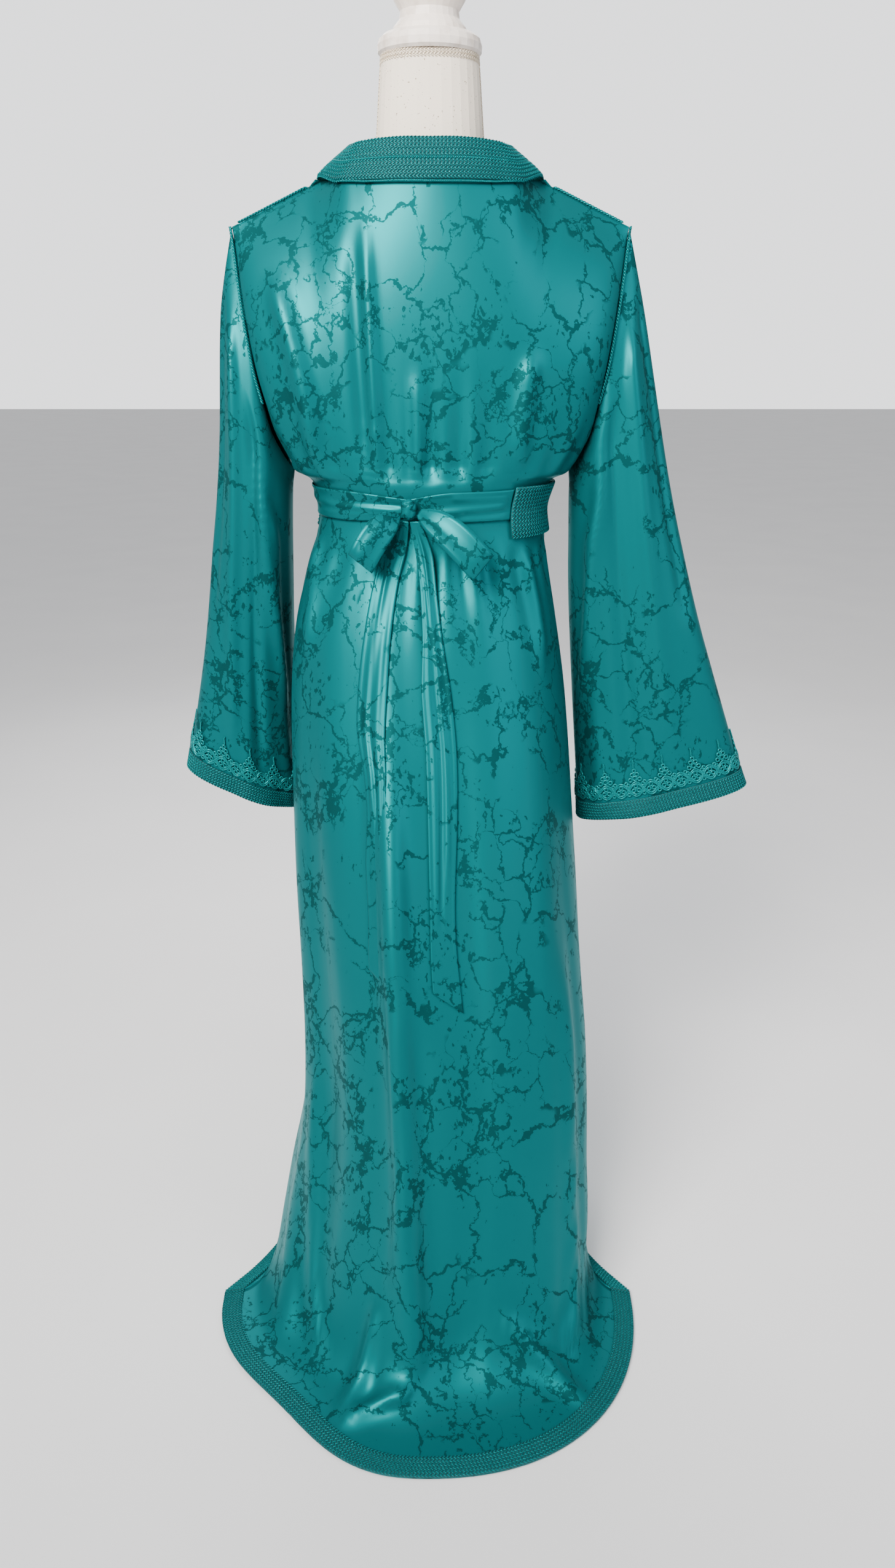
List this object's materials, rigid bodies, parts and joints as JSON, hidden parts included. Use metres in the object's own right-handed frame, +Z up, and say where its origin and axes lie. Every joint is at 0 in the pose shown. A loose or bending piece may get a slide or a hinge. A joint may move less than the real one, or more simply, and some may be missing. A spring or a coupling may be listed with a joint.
{
  "type": "moroccan kaftan on dress form",
  "caption": "Teal satin moroccan kaftan with braided collar, cuffs and hem, a tied belt and a short train, hanging on a cream limbless dress form",
  "frame": {"origin": "middle of the stand base's underside, on the floor", "axes": "+Z up, front of the garment faces -Y, the train runs out to +Y, the wearer's left is +X"},
  "size_m": [0.7701, 0.7621, 1.61],
  "materials": {
    "satin": "sheen satin with a tone-on-tone cracked jacquard pattern",
    "braid": "shiny plaited silk braid",
    "linen": "matt cream linen",
    "painted_wood": "cream satin paint",
    "steel": "brushed"
  },
  "bodies": {
    "root": {"back_panel": "satin", "front_left": "satin", "front_right": "satin", "sleeve_left": "satin", "sleeve_right": "satin", "cuff_band_left": "braid", "cuff_band_right": "braid", "armhole_cord_left": "braid", "armhole_cord_right": "braid", "shoulder_cord_left": "braid", "shoulder_cord_right": "braid", "neck_band": "braid", "hem_band_back": "braid", "hem_band_left": "braid", "hem_band_right": "braid", "front_band_left": "braid", "front_band_right": "braid", "belt_front": "braid", "belt_tie_left": "satin", "belt_tie_right": "satin", "belt_knot": "satin", "bow_loop_left": "satin", "bow_loop_right": "satin", "bow_tail_left": "satin", "bow_tail_right": "satin", "form_torso": "linen", "form_neck": "linen", "neck_cap": "painted_wood", "neck_knob": "painted_wood", "stand_pole": "steel", "stand_base": "painted_wood"}
  },
  "joints": []
}
